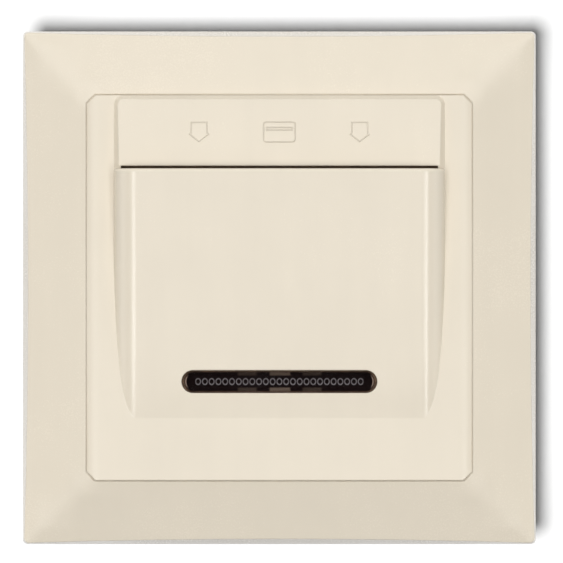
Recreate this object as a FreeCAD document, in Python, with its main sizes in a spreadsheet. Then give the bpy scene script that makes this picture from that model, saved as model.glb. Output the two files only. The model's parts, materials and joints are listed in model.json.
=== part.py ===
import FreeCAD, Part
import math
import os
import Sketcher

# A key-card switch for one wall box, in millimetres.
# X points right, Z up, and the front faces -Y. The wall is the plane y = 0,
# and the origin lies on it, on the centre line of the box.
# A depth is measured out of the wall towards the viewer, so y = -depth.

NUMBERS = {
    # How far a cutting shape runs past the face that it cuts
    "cut_past": 1.0,
    # Square cover frame
    "frame_half": 44.0,
    "frame_wall": 1.8,
    "frame_side_height": 6.2,
    "frame_lip": 0.3,
    "frame_lip_bow": 0.65,
    "frame_face_depth": 9.7,
    "frame_corner_round": 0.8,
    "frame_mitre_round": 8.0,
    "frame_ledge_width": 2.0,
    "frame_ledge_thick": 1.4,
    "frame_seat_sink": 1.4,
    # Square centre plate
    "plate_half": 32.97,
    "plate_gap": 0.16,
    "plate_corner_cut": 1.5,
    "plate_front": 10.0,
    "plate_thick": 1.5,
    "plate_edge_height": 2.1,
    "plate_skirt_wall": 1.4,
    "plate_roll_width": 2.2,
    "plate_roll_drop": 0.45,
    # Card pocket front, a wedge with round shoulders
    "dome_half": 28.3,
    "dome_wall": 1.2,
    "dome_top": 20.40,
    "dome_rise": 5.4,
    "dome_slope": 0.12,
    "dome_bend": -12.0,
    "dome_toe": -22.9,
    "dome_toe_sink": 0.1,
    "dome_shoulder": 3.8,
    "dome_inner_shoulder": 1.5,
    "dome_mouth_round": 0.45,
    "dome_root": 5.0,
    "pocket_end": -19.2,
    # Label land above the card slot
    "slot_gap": 0.46,
    "land_inset": 0.1,
    "land_low_rise": 1.7,
    "land_top_rise": 1.1,
    "land_draft": 27.0,
    "land_corner": 1.6,
    "land_core": 9.6,
    # Card guide behind the pocket front
    "guide_side_gap": 0.2,
    "guide_top": 19.3,
    "guide_top_space": 2.45,
    "guide_low_space": 1.3,
    "guide_wall": 1.4,
    "guide_floor": 7.0,
    "guide_flange_gap": 0.7,
    "guide_flange_lap": 0.7,
    "guide_flange_low": -21.2,
    "guide_leg": 2.4,
    "guide_leg_inset": 1.9,
    "guide_leg_z": 17.0,
    "stop_top": -12.2,
    "stop_thick": 1.0,
    "stop_gap": 0.3,
    # Indicator window
    "lens_z": -16.06,
    "lens_half_length": 16.75,
    "lens_half_height": 1.95,
    "lens_gap": 0.08,
    "lens_sink": 0.06,
    "lens_form_inset": 0.5,
    "lens_rim": 0.55,
    "diffuser_half": 16.0,
    "diffuser_half_height": 2.0,
    "diffuser_back": 7.5,
    "diffuser_front": 8.2,
    "rib_rise": 0.5,
    "rib_pitch": 1.16,
    "rib_half_width": 0.36,
    "rib_half_height": 0.72,
    "rib_line": 0.17,
    # Steel mounting bridge
    "bridge_half": 35.5,
    "bridge_thick": 1.2,
    "bridge_corner_cut": 10.0,
    "bridge_window_half": 18.0,
    "bridge_window_cut": 10.5,
    "screw_line": 60.0,
    "slot_length": 8.0,
    "slot_half_width": 2.1,
    # Snap hooks of the centre plate
    "hook_x": 12.0,
    "hook_z": 24.5,
    "hook_width": 4.0,
    "hook_thick": 1.4,
    "hook_barb": 0.6,
    "hook_tip": 1.1,
    "hook_gap": 0.1,
    "hook_root": 0.2,
    "hook_window_gap": 0.4,
    # Switch mechanism housing
    "base_half": 20.4,
    "base_corner_cut": 6.0,
    "base_wall": 1.6,
    "base_depth": 24.0,
    "rail_low": -5.0,
    "rail_front": 8.0,
    "partition_low": 0.0,
    "partition_front": 3.0,
    "cover_thick": 2.0,
    "case_screw_inset": 5.4,
    "case_screw_radius": 1.2,
    "case_screw_length": 11.0,
    "case_head_radius": 2.1,
    "case_head_height": 1.4,
    "case_post_radius": 2.6,
    "screw_gap": 0.1,
    # Card lever and its pin
    "pin_radius": 1.0,
    "pin_gap": 0.05,
    "pivot_z": 8.0,
    "pivot_depth": 6.6,
    "hub_radius": 2.2,
    "hub_half": 2.9,
    "ear_gap": 0.3,
    "ear_thick": 1.6,
    "ear_round": 2.0,
    "ear_foot_half": 3.0,
    "ear_root": 0.5,
    "pin_overhang": 0.6,
    "arm_half": 2.2,
    "arm_front": 7.6,
    "arm_back": 6.0,
    "arm_low": -10.3,
    "nose_z": -8.0,
    "nose_gap": 0.3,
    "nose_radius": 1.2,
    "nose_foot": 2.1,
    "nose_window_half": 2.95,
    "nose_window_gap": 0.6,
    # Contact carrier on the lever, and the contacts
    "carrier_z": -4.0,
    "contact_travel": 1.16,
    "contact_wipe": 1.05,
    "carrier_head_thick": 1.4,
    "carrier_head_half": 2.2,
    "stem_swing": 0.6,
    "stem_half": 1.8,
    "stem_gap": 0.2,
    "block_half_width": 3.5,
    "block_half_height": 2.2,
    "block_back": 4.2,
    "block_gap": 0.2,
    "tail_half": 1.2,
    "tail_end": 6.4,
    "strip_thick": 0.7,
    "strip_half": 9.0,
    "strip_half_height": 2.0,
    "tip_x": 7.0,
    "tip_radius": 1.3,
    "tip_thick": 0.6,
    "tip_gap": 0.06,
    "fixed_tip_thick": 0.56,
    "tongue_thick": 0.8,
    "tongue_start": 4.5,
    "tongue_half_height": 2.5,
    "blade_x": 15.2,
    "blade_thick": 0.8,
    "blade_back": 14.0,
    "branch_half": 1.5,
    # Leaf spring under the carrier
    "leaf_thick": 0.3,
    "leaf_half": 1.8,
    "leaf_gap": 0.1,
    "leaf_reach": 1.5,
    "leaf_foot": 12.0,
    "leaf_foot_low": -12.5,
    "leaf_foot_top": -9.5,
    # Screwless terminals
    "cage_width": 6.0,
    "cage_front": 12.0,
    "cage_low": 0.0,
    "cage_top": 8.0,
    "cage_thick": 0.8,
    "clamp_thick": 0.4,
    "clamp_gap": 0.15,
    "clamp_bend": 1.6,
    "clamp_side": 0.4,
    "clamp_front": 13.4,
    "clamp_back": 2.9,
    "entry_low": 4.6,
    "entry_top": 7.0,
    "entry_width": 2.4,
    "entry_margin": 0.6,
    "release_width": 1.8,
    "release_gap": 0.2,
    "release_wall": 0.6,
    "release_out": 2.0,
    "release_lip": 0.6,
    "release_lip_thick": 1.6,
    # Indicator lamp on its board
    "board_half": 11.5,
    "board_low": -19.0,
    "board_top": -13.0,
    "board_thick": 1.0,
    "lamp_radius": 1.5,
    "lamp_half": 4.5,
    "lamp_gap": 0.1,
    "lead_radius": 0.25,
    "lead_reach": 1.4,
    "resistor_radius": 0.9,
    "resistor_half": 2.2,
    "resistor_x": 7.7,
    "resistor_low": -18.0,
    "pin_x": 9.5,
    "pin_z": -14.2,
    "lamp_pin_half": 0.4,
    "pin_hole_gap": 0.15,
    # Fixing claws and their screws
    "claw_z": 9.0,
    "claw_half": 3.5,
    "claw_thick": 1.2,
    "claw_pivot_out": 1.1,
    "claw_pivot_y": 3.0,
    "claw_reach_out": 6.0,
    "claw_length": 16.0,
    "claw_foot_out": 5.2,
    "claw_tooth": 1.0,
    "trunnion_radius": 0.9,
    "trunnion_gap": 0.08,
    "lug_gap": 0.3,
    "lug_thick": 1.4,
    "lug_out": 3.2,
    "lug_depth": 5.5,
    "claw_screw_out": 3.7,
    "claw_screw_radius": 1.25,
    "claw_screw_length": 6.4,
    "claw_screw_play": 0.5,
    "claw_head_radius": 2.6,
    "claw_head_height": 1.6,
    "drive_half": 0.35,
    "drive_depth": 0.8,
}

document = FreeCAD.newDocument("KeyCardSwitch")
sheet = document.addObject("Spreadsheet::Sheet", "Sizes")


class Size(float):
    """A number in millimetres that also carries the expression it came from."""

    def __new__(cls, number, text):
        made = float.__new__(cls, number)
        made.text = text
        return made

    def __add__(self, other):
        return Size(float(self) + float(other), f"({self.text} + {text_of(other)})")

    def __radd__(self, other):
        return Size(float(other) + float(self), f"({text_of(other)} + {self.text})")

    def __sub__(self, other):
        return Size(float(self) - float(other), f"({self.text} - {text_of(other)})")

    def __rsub__(self, other):
        return Size(float(other) - float(self), f"({text_of(other)} - {self.text})")

    def __mul__(self, other):
        return Size(float(self) * float(other), f"({self.text} * {text_of(other)})")

    def __rmul__(self, other):
        return Size(float(other) * float(self), f"({text_of(other)} * {self.text})")

    def __truediv__(self, other):
        return Size(float(self) / float(other), f"({self.text} / {text_of(other)})")

    def __neg__(self):
        return Size(-float(self), f"(-1 * {self.text})")


def text_of(value):
    return value.text if isinstance(value, Size) else repr(float(value))


def root(value):
    return Size(math.sqrt(value), f"sqrt({text_of(value)})")


class Sheet:
    """Every driving size by name, written once to the spreadsheet."""

    def __init__(self):
        for row, (name, number) in enumerate(NUMBERS.items(), start=1):
            sheet.set(f"A{row}", name)
            sheet.set(f"B{row}", str(number))
            sheet.setAlias(f"B{row}", name)
            setattr(self, name, Size(number, f"Sizes.{name}"))


s = Sheet()
document.recompute()


def bind(thing, place, value):
    """Tie one property to the sheet, or set it if it is a plain number."""
    thing.setExpression(place, text_of(value))


def body(label):
    made = document.addObject("PartDesign::Body", label)
    made.Label = label
    return made


def sketch(owner, role, lift=0.0):
    """A sketch on an origin plane of its body.

    FRONT sketches use X and Z and are lifted by a depth out of the wall.
    SIDE sketches use Y and Z, and TOP sketches X and Y.
    """
    planes = [thing for thing in owner.Origin.OriginFeatures if thing.Role == role]
    made = owner.newObject("Sketcher::SketchObject", "Outline")
    made.AttachmentSupport = [(planes[0], "")]
    made.MapMode = "FlatFace"
    bind(made, "AttachmentOffset.Base.z", lift)
    return made


FRONT = "XZ_Plane"
SIDE = "YZ_Plane"
TOP = "XY_Plane"


def pin_point(made, item, end, point):
    """Hold one end of a sketch item at a place given by sizes."""
    for kind, value in zip(("DistanceX", "DistanceY"), point):
        index = made.addConstraint(Sketcher.Constraint(kind, -1, 1, item, end, float(value)))
        bind(made, f"Constraints[{index}]", value)


def arc_between(start, finish, radius):
    """An arc under a half turn, drawn anticlockwise about its centre for radius > 0."""
    first = FreeCAD.Vector(float(start[0]), float(start[1]), 0)
    last = FreeCAD.Vector(float(finish[0]), float(finish[1]), 0)
    chord = last - first
    sink = math.sqrt(max(float(radius) ** 2 - chord.Length ** 2 / 4, 0.0))
    across = FreeCAD.Vector(-chord.y, chord.x, 0).normalize()
    turn = 1 if radius > 0 else -1
    centre = (first + last) / 2 + across * sink * turn
    near, far = (first, last) if radius > 0 else (last, first)
    angles = [math.atan2((p - centre).y, (p - centre).x) for p in (near, far)]
    circle = Part.Circle(centre, FreeCAD.Vector(0, 0, 1), abs(float(radius)))
    return Part.ArcOfCircle(circle, angles[0], angles[1])


def outline(made, corners, arcs=None, centres=None):
    """A closed outline. arcs maps the number of a side to its signed radius.

    centres holds an arc by a coordinate of its centre instead, as a half circle needs.
    """
    arcs = arcs or {}
    centres = centres or {}
    items = []
    for number, start in enumerate(corners):
        finish = corners[(number + 1) % len(corners)]
        if number in arcs:
            shape = arc_between(start, finish, arcs[number])
        else:
            ends = [FreeCAD.Vector(float(p[0]), float(p[1]), 0) for p in (start, finish)]
            shape = Part.LineSegment(*ends)
        items.append((made.addGeometry(shape, False), arcs.get(number, 0)))
    for number, (item, radius) in enumerate(items):
        follower, next_radius = items[(number + 1) % len(items)]
        last = 1 if radius < 0 else 2
        first = 2 if next_radius < 0 else 1
        made.addConstraint(Sketcher.Constraint("Coincident", item, last, follower, first))
        pin_point(made, item, 2 if radius < 0 else 1, corners[number])
        if number in centres:
            kind, value = centres[number]
            index = made.addConstraint(Sketcher.Constraint(kind, -1, 1, item, 3, float(value)))
            bind(made, f"Constraints[{index}]", value)
        elif radius:
            size = abs(float(radius))
            index = made.addConstraint(Sketcher.Constraint("Radius", item, size))
            bind(made, f"Constraints[{index}]", radius if radius > 0 else -radius)
    return made


def rectangle(made, left, right, low, top):
    return outline(made, [(left, low), (right, low), (right, top), (left, top)])


def cut_square(made, half, cut):
    """A square with its four corners cut off at 45 degrees."""
    inner = half - cut
    return outline(made, [
        (-half, -inner), (-inner, -half), (inner, -half), (half, -inner),
        (half, inner), (inner, half), (-inner, half), (-half, inner),
    ])


def disc(made, centre, radius):
    place = FreeCAD.Vector(float(centre[0]), float(centre[1]), 0)
    item = made.addGeometry(Part.Circle(place, FreeCAD.Vector(0, 0, 1), float(radius)), False)
    pin_point(made, item, 3, centre)
    index = made.addConstraint(Sketcher.Constraint("Radius", item, float(radius)))
    bind(made, f"Constraints[{index}]", radius)
    return made


def obround(made, centre, half_length, half_width, upright=False):
    """A slot outline with round ends, along X or, if upright, along Z."""
    x, z = centre
    run = half_length - half_width
    if upright:
        corners = [
            (x + half_width, z - run), (x + half_width, z + run),
            (x - half_width, z + run), (x - half_width, z - run),
        ]
        centres = {1: ("DistanceY", z + run), 3: ("DistanceY", z - run)}
    else:
        corners = [
            (x - run, z - half_width), (x + run, z - half_width),
            (x + run, z + half_width), (x - run, z + half_width),
        ]
        centres = {1: ("DistanceX", x + run), 3: ("DistanceX", x - run)}
    return outline(made, corners, {1: half_width, 3: half_width}, centres)


def six_sided(made, centre, half_width, half_height):
    """A tall slim outline with blunt points at its ends."""
    x, z = centre
    run = half_height - half_width / 2
    return outline(made, [
        (x, z - half_height), (x + half_width, z - run), (x + half_width, z + run),
        (x, z + half_height), (x - half_width, z + run), (x - half_width, z - run),
    ])


def eight_sided(made, centre, half_width, half_height):
    """A circle drawn with eight straight sides, for small or hidden pieces."""
    x, z = centre
    run = half_height - half_width / 2
    return outline(made, [
        (x - half_width / 2, z - half_height), (x + half_width / 2, z - half_height),
        (x + half_width, z - run), (x + half_width, z + run),
        (x + half_width / 2, z + half_height), (x - half_width / 2, z + half_height),
        (x - half_width, z + run), (x - half_width, z - run),
    ])


def finish(owner, feature):
    """Recompute, and stop if the feature failed."""
    owner.Tip = feature
    document.recompute()
    if "Invalid" in feature.State or "Error" in feature.State or feature.Shape.isNull():
        raise RuntimeError(f"{owner.Label}: {feature.Name} failed")
    return feature


def pad(owner, made, length, both=False, taper=0.0, back=False):
    feature = owner.newObject("PartDesign::Pad", "Pad")
    feature.Profile = made
    feature.Reversed = back
    if both:
        feature.SideType = "Symmetric"
    bind(feature, "Length", length)
    if taper:
        bind(feature, "TaperAngle", taper)
    return finish(owner, feature)


def pocket(owner, made, length, both=False, out=False):
    """Cut towards the wall, or out towards the viewer, and prove that it cut."""
    before = owner.Tip.Shape.Volume
    feature = owner.newObject("PartDesign::Pocket", "Pocket")
    feature.Profile = made
    feature.Reversed = out
    if both:
        feature.SideType = "Symmetric"
    bind(feature, "Length", length)
    finish(owner, feature)
    if not feature.Shape.Volume < before:
        raise RuntimeError(f"{owner.Label}: {feature.Name} cut nothing")
    return feature


def loft(owner, sections, cutting=False):
    kind = "PartDesign::SubtractiveLoft" if cutting else "PartDesign::AdditiveLoft"
    feature = owner.newObject(kind, "Loft")
    feature.Profile = sections[0]
    feature.Sections = sections[1:]
    feature.Ruled = True
    return finish(owner, feature)


def names_of(shape, test):
    return [f"Edge{number}" for number, edge in enumerate(shape.Edges, start=1) if test(edge)]


def soften(owner, radius, test):
    """Round the edges of the body's last feature that pass the test."""
    base = owner.Tip
    names = names_of(base.Shape, test)
    if not names:
        raise RuntimeError(f"{owner.Label}: no edge to round")
    feature = owner.newObject("PartDesign::Fillet", "Round")
    feature.Base = (base, names)
    bind(feature, "Radius", radius)
    return finish(owner, feature)


def mirror(owner, features, role):
    """Repeat features on the other side of an origin plane."""
    before = owner.Tip.Shape.Volume
    planes = [thing for thing in owner.Origin.OriginFeatures if thing.Role == role]
    feature = owner.newObject("PartDesign::Mirrored", "Mirror")
    feature.Originals = features
    feature.MirrorPlane = (planes[0], [""])
    finish(owner, feature)
    if abs(feature.Shape.Volume - before) < 1e-6:
        raise RuntimeError(f"{owner.Label}: the mirror changed nothing")
    return feature


NEAR = 0.01


def near(value, target):
    return abs(value - float(target)) < NEAR


# Sizes that several pieces share, worked out from the driving ones
opening_half = s.plate_half + s.plate_gap
ledge_depth = s.plate_front - s.plate_edge_height
ledge_half = opening_half - s.frame_ledge_width
plate_back = s.plate_front - s.plate_thick
dome_front = s.plate_front + s.dome_rise
dome_bend_depth = dome_front - s.dome_slope * (s.dome_top - s.dome_bend)
slant = root(1 + s.dome_slope * s.dome_slope)
roof_drop = s.dome_wall * slant
card_half = s.dome_half - s.dome_wall
slot_top = s.dome_top + s.slot_gap
cover_front = s.bridge_thick + s.cover_thick
board_front = cover_front + s.board_thick
floor_y = s.base_depth - s.base_wall
clamp_end = floor_y - s.clamp_back
case_screw_at = s.base_half - s.case_screw_inset
claw_pivot_x = s.base_half + s.claw_pivot_out
claw_reach = s.base_half + s.claw_reach_out
claw_foot_reach = s.base_half + s.claw_foot_out
claw_screw_x = s.base_half + s.claw_screw_out
lug_reach = s.base_half + s.lug_out
cage_x = s.blade_x - s.cage_width / 2
moving_tip_front = s.block_back + s.strip_thick
fixed_tip_front = moving_tip_front + s.tip_thick + s.contact_travel + s.tip_gap
tongue_front = fixed_tip_front + s.fixed_tip_thick


def roof_inside(z):
    """Depth of the pocket's inner roof at a height above the bend."""
    return dome_front - s.dome_slope * (s.dome_top - z) - roof_drop


guide_flange_half = ledge_half - s.guide_flange_gap
guide_high = roof_inside(s.guide_top) - s.guide_top_space
guide_low = roof_inside(s.stop_top) - s.guide_low_space
nose_tip = roof_inside(s.nose_z) - s.nose_gap
guide_slope = (guide_high - guide_low) / (s.guide_top - s.stop_top)

# The frame's face is drawn on past the opening, so that its round mitres are cut off cleanly
peak_half = opening_half / 2
face_fall = s.frame_face_depth - s.frame_side_height
face_run = s.frame_half - s.frame_lip - opening_half
peak_depth = s.frame_face_depth + (opening_half - peak_half) * face_fall / face_run


def guide_face(z):
    """Depth of the card guide's sloping face."""
    return guide_low + guide_slope * (z - s.stop_top)


def round_square(owner, lift, half, corner, bow=None):
    """A square with round corners. With a bow, a shallow arc draws each side in."""
    made = sketch(owner, FRONT, lift)
    inner = half - corner
    arcs = {side: corner for side in (1, 3, 5, 7)}
    if bow:
        radius = -1 * ((inner * inner + bow * bow) / (2 * bow))
        arcs.update({side: radius for side in (0, 2, 4, 6)})
    return outline(made, [
        (-inner, -half), (inner, -half), (half, -inner), (half, inner),
        (inner, half), (-inner, half), (-half, inner), (-half, -inner),
    ], arcs)


def straight_square(owner, lift, half):
    return rectangle(sketch(owner, FRONT, lift), -half, half, -half, half)


def cover_frame():
    """Outer frame: sloping face, drawn-in side walls, ledge and skirt for the plate."""
    frame = body("cover_frame")
    corner = s.frame_corner_round
    lip = (s.frame_side_height, s.frame_half - s.frame_lip, corner, s.frame_lip_bow)
    loft(frame, [round_square(frame, 0.0, s.frame_half, corner), round_square(frame, *lip)])
    peak = round_square(frame, peak_depth, peak_half, s.frame_mitre_round)
    loft(frame, [round_square(frame, *lip), peak])
    hollow_frame(frame)
    seat = sketch(frame, FRONT, s.bridge_thick)
    cut_square(seat, opening_half + s.frame_ledge_thick, s.plate_corner_cut)
    pad(frame, seat, s.frame_face_depth - s.frame_seat_sink - s.bridge_thick)
    pocket(frame, straight_square(frame, 0.0, ledge_half), peak_depth + s.cut_past, out=True)
    rebate = sketch(frame, FRONT, ledge_depth)
    cut_square(rebate, opening_half, s.plate_corner_cut)
    pocket(frame, rebate, peak_depth, out=True)
    return frame


def hollow_frame(frame):
    """Take out the space behind the frame's walls and behind its sloping face."""
    inside = s.frame_half - s.frame_wall
    shoulder = inside - s.frame_lip_bow - s.frame_lip
    shoulder_depth = s.frame_side_height - s.frame_wall / 2
    low = [straight_square(frame, 0.0, inside)]
    low.append(straight_square(frame, shoulder_depth, shoulder))
    loft(frame, low, cutting=True)
    high = [straight_square(frame, shoulder_depth, shoulder)]
    high.append(straight_square(frame, s.frame_face_depth - s.frame_wall, opening_half))
    loft(frame, high, cutting=True)


def dome_profile(made, drop, top, toe_z, floor):
    """Side view of the wedge: a straight slope, then an arc that dives into the plate."""
    outer_radius = toe_radius()
    if drop:
        high = dome_front - s.dome_slope * (s.dome_top - top) - roof_drop
        bend_z = s.dome_bend + s.dome_wall * s.dome_slope / slant
        bend = dome_bend_depth - s.dome_wall / slant
        radius = outer_radius - s.dome_wall
        toe = arc_depth(toe_z, radius)
    else:
        high = dome_front
        bend_z = s.dome_bend
        bend = dome_bend_depth
        radius = outer_radius
        toe = s.plate_front - s.dome_toe_sink
    corners = [(-high, top), (-bend, bend_z), (-toe, toe_z), (-floor, toe_z), (-floor, top)]
    return outline(made, corners, {1: radius})


def toe_radius():
    """Radius of the arc that leaves the slope smoothly and ends at the toe."""
    run = s.dome_bend - s.dome_toe
    fall = dome_bend_depth - (s.plate_front - s.dome_toe_sink)
    chord = run * run + fall * fall
    return chord * slant / (2 * (fall - s.dome_slope * run))


def arc_depth(z, radius):
    """Depth of the toe arc, or of one beside it, at a height."""
    centre_z = s.dome_bend + toe_radius() * s.dome_slope / slant
    centre = dome_bend_depth - toe_radius() / slant
    return centre + root(radius * radius - (z - centre_z) * (z - centre_z))


def long_edge(edge, half, lowest):
    """An edge along the roof of the wedge, at its left or right side."""
    box = edge.BoundBox
    side = near(abs(box.XMin), half) and near(abs(box.XMax), half)
    return side and box.ZMax - box.ZMin > 1 and box.YMax < -float(lowest) - NEAR


def centre_plate():
    """Front moulding: plate, label land and hollow card pocket, with snap hooks."""
    plate = body("centre_moulding")
    card_wedge(plate)
    flat_slab(plate)
    label_land(plate)
    skirt_half = s.plate_half - s.plate_skirt_wall
    pocket(plate, straight_square(plate, plate_back, skirt_half), plate_back)
    core = sketch(plate, FRONT, plate_back)
    rectangle(core, -card_half, card_half, slot_top + s.dome_wall, skirt_half)
    pocket(plate, core, s.land_core - plate_back, out=True)
    hooks = [snap_hook(plate, side) for side in (1, -1)]
    mirror(plate, hooks, SIDE)
    made = document.addObject("Part::Cut", "centre_plate")
    made.Label = "centre_plate"
    made.Base = plate
    made.Tool = pocket_hollow()
    made.Refine = True
    document.recompute()
    return made


def card_wedge(plate):
    """Solid wedge with round shoulders, which the pocket is hollowed from."""
    wedge = sketch(plate, SIDE)
    dome_profile(wedge, False, s.dome_top, s.dome_toe, s.dome_root)
    pad(plate, wedge, 2 * s.dome_half, both=True)
    soften(plate, s.dome_shoulder, lambda e: long_edge(e, s.dome_half, s.dome_root))
    soften(plate, s.dome_mouth_round, lambda e: mouth_edge(e, s.dome_root))


def flat_slab(plate):
    """The square plate, rolled down at its left and right edges, its corners cut off."""
    slab = sketch(plate, TOP, -s.plate_half)
    flat_half = s.plate_half - s.plate_roll_width
    width = s.plate_roll_width
    drop = s.plate_roll_drop
    roll = (width * width + drop * drop) / (2 * drop)
    low = s.plate_front - drop
    outline(slab, [
        (-s.plate_half, -ledge_depth), (-s.plate_half, -low), (-flat_half, -s.plate_front),
        (flat_half, -s.plate_front), (s.plate_half, -low), (s.plate_half, -ledge_depth),
    ], {1: roll, 3: roll})
    pad(plate, slab, 2 * s.plate_half)
    corners = straight_square(plate, s.plate_front, s.plate_half + s.cut_past)
    cut_square(corners, s.plate_half, s.plate_corner_cut)
    pocket(plate, corners, s.plate_front)


def label_land(plate):
    """Raised land above the card slot, with drafted sides and a sloping face."""
    land = sketch(plate, FRONT, s.plate_front)
    top = s.plate_half - s.land_inset
    inner = s.dome_half - s.land_corner
    low = s.dome_top - s.cut_past
    outline(land, [
        (-s.dome_half, low), (s.dome_half, low), (s.dome_half, top - s.land_corner),
        (inner, top), (-inner, top), (-s.dome_half, top - s.land_corner),
    ], {2: s.land_corner, 4: s.land_corner})
    pad(plate, land, s.land_low_rise + s.cut_past, taper=-1 * s.land_draft)
    trim = sketch(plate, SIDE)
    low_face = s.plate_front + s.land_low_rise
    top_face = s.plate_front + s.land_top_rise
    clear = low_face + 2 * s.cut_past
    beyond = s.plate_half + s.cut_past
    outline(trim, [(-low_face, slot_top), (-clear, slot_top), (-clear, beyond), (-top_face, beyond)])
    pocket(plate, trim, 2 * s.plate_half, both=True)


def pocket_hollow():
    """The card's space inside the wedge, and the opening for the lamp window."""
    hollow = body("pocket_hollow")
    space = sketch(hollow, SIDE)
    dome_profile(space, True, slot_top, s.pocket_end, plate_back - s.cut_past)
    pad(hollow, space, 2 * card_half, both=True)
    soften(hollow, s.dome_inner_shoulder, lambda e: long_edge(e, card_half, plate_back))
    window = sketch(hollow, FRONT, plate_back)
    obround(window, (0.0, s.lens_z), s.lens_half_length, s.lens_half_height)
    pad(hollow, window, s.dome_rise)
    return hollow


def mouth_edge(edge, lowest):
    """The rim of the pocket's mouth, at the top of the wedge."""
    box = edge.BoundBox
    level = near(box.ZMin, s.dome_top) and near(box.ZMax, s.dome_top)
    return level and (box.YMax < -float(lowest) - NEAR or box.YMax - box.YMin > 2)


def snap_hook(plate, side):
    """A hook from the plate's back, gripping behind the steel bridge."""
    made = sketch(plate, SIDE, s.hook_x - s.hook_width / 2)
    inner = side * (s.hook_z - s.hook_thick / 2)
    outer = side * (s.hook_z + s.hook_thick / 2)
    barb = side * (s.hook_z + s.hook_thick / 2 + s.hook_barb)
    root_y = -s.land_core - s.hook_root
    corners = [
        (root_y, inner), (root_y, outer), (s.hook_gap, outer),
        (s.hook_gap, barb), (s.hook_tip, outer), (s.hook_tip, inner),
    ]
    outline(made, corners)
    return pad(plate, made, s.hook_width)


def card_guide():
    """Dark inner moulding: the pocket's back wall, its stop and the lamp window."""
    guide = body("card_guide")
    half = card_half - s.guide_side_gap
    stop_low = s.stop_top - s.stop_thick
    wedge = sketch(guide, SIDE)
    outline(wedge, [
        (-s.guide_floor, s.guide_top), (-guide_high, s.guide_top), (-guide_low, s.stop_top),
        (-guide_low, stop_low), (-s.guide_floor, stop_low),
    ])
    pad(guide, wedge, 2 * half, both=True)
    stop_half = card_half - s.dome_inner_shoulder - s.guide_side_gap
    box(guide, -stop_half, stop_half, stop_low, s.stop_top, s.guide_floor,
        roof_inside(stop_low) - s.stop_gap - s.guide_floor)
    flange = sketch(guide, FRONT, s.guide_floor)
    rectangle(flange, -guide_flange_half, guide_flange_half,
              s.guide_flange_low, slot_top + s.guide_flange_lap)
    pad(guide, flange, plate_back - s.guide_floor)
    inside = sketch(guide, SIDE)
    low_z = s.stop_top + s.guide_wall / 2
    high_z = s.guide_top - s.guide_wall
    outline(inside, [
        (s.cut_past - s.guide_floor, high_z), (s.guide_wall - guide_face(high_z), high_z),
        (s.guide_wall - guide_face(low_z), low_z), (s.cut_past - s.guide_floor, low_z),
    ])
    pocket(guide, inside, 2 * (half - s.guide_wall), both=True)
    slit = sketch(guide, FRONT, s.guide_floor - s.cut_past)
    low_edge = s.lens_z - s.diffuser_half_height
    top_edge = s.lens_z + s.diffuser_half_height
    ledge = s.diffuser_back - s.guide_floor
    rectangle(slit, -s.diffuser_half + ledge, s.diffuser_half - ledge,
              low_edge + ledge, top_edge - ledge)
    pocket(guide, slit, plate_back, out=True)
    seat = sketch(guide, FRONT, s.diffuser_back)
    rectangle(seat, -s.diffuser_half - s.lens_gap, s.diffuser_half + s.lens_gap,
              low_edge - s.lens_gap, top_edge + s.lens_gap)
    pocket(guide, seat, s.dome_rise, out=True)
    rim_space = sketch(guide, FRONT, s.diffuser_front)
    rim_half = s.lens_half_length + s.lens_rim + s.lens_gap
    rim_height = s.lens_half_height + s.lens_rim + s.lens_gap
    rectangle(rim_space, -rim_half, rim_half, s.lens_z - rim_height, s.lens_z + rim_height)
    pocket(guide, rim_space, s.dome_rise, out=True)
    window = sketch(guide, FRONT, s.guide_floor - s.cut_past)
    rectangle(window, -s.arm_half - s.nose_window_gap, s.arm_half + s.nose_window_gap,
              s.nose_z - s.nose_window_half, s.nose_z + s.nose_window_half)
    pocket(guide, window, s.dome_rise + s.cut_past, out=True)
    leg_x = guide_flange_half - s.guide_leg_inset
    for x in (-leg_x, leg_x):
        for z in (-s.guide_leg_z, s.guide_leg_z):
            foot = sketch(guide, FRONT, s.bridge_thick)
            rectangle(foot, x - s.guide_leg / 2, x + s.guide_leg / 2,
                      z - s.guide_leg / 2, z + s.guide_leg / 2)
            pad(guide, foot, s.guide_floor - s.bridge_thick)
    return guide


def indicator_lens():
    """Smoked window that follows the pocket's toe, with a rim behind the wall."""
    lens = body("lens_blank")
    back = s.diffuser_front + s.rib_rise + s.lens_gap
    stem = sketch(lens, FRONT, back)
    obround(stem, (0.0, s.lens_z), s.lens_half_length - s.lens_gap,
            s.lens_half_height - s.lens_gap)
    pad(lens, stem, s.dome_rise)
    rim = body("lens_rim")
    wide = sketch(rim, FRONT, back)
    obround(wide, (0.0, s.lens_z), s.lens_half_length + s.lens_rim,
            s.lens_half_height + s.lens_rim)
    pad(rim, wide, s.dome_rise)
    stem_form = toe_form("lens_front_form", s.lens_sink)
    rim_form = toe_form("lens_rim_form", s.dome_wall + s.lens_gap)
    front = document.addObject("Part::Common", "LensFront")
    front.Base = lens
    front.Tool = stem_form
    flange = document.addObject("Part::Common", "LensFlange")
    flange.Base = rim
    flange.Tool = rim_form
    made = document.addObject("Part::Fuse", "indicator_lens")
    made.Label = "indicator_lens"
    made.Base = front
    made.Tool = flange
    made.Refine = True
    document.recompute()
    return made


def toe_form(label, drop):
    """Solid under a surface that runs a set distance below the wedge's toe."""
    form = body(label)
    made = sketch(form, SIDE)
    radius = toe_radius() - drop
    top = s.dome_bend - s.lens_form_inset
    low = s.pocket_end
    outline(made, [
        (-arc_depth(top, radius), top), (-arc_depth(low, radius), low),
        (-s.bridge_thick, low), (-s.bridge_thick, top),
    ], {0: radius})
    pad(form, made, 2 * s.dome_half, both=True)
    return form


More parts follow.
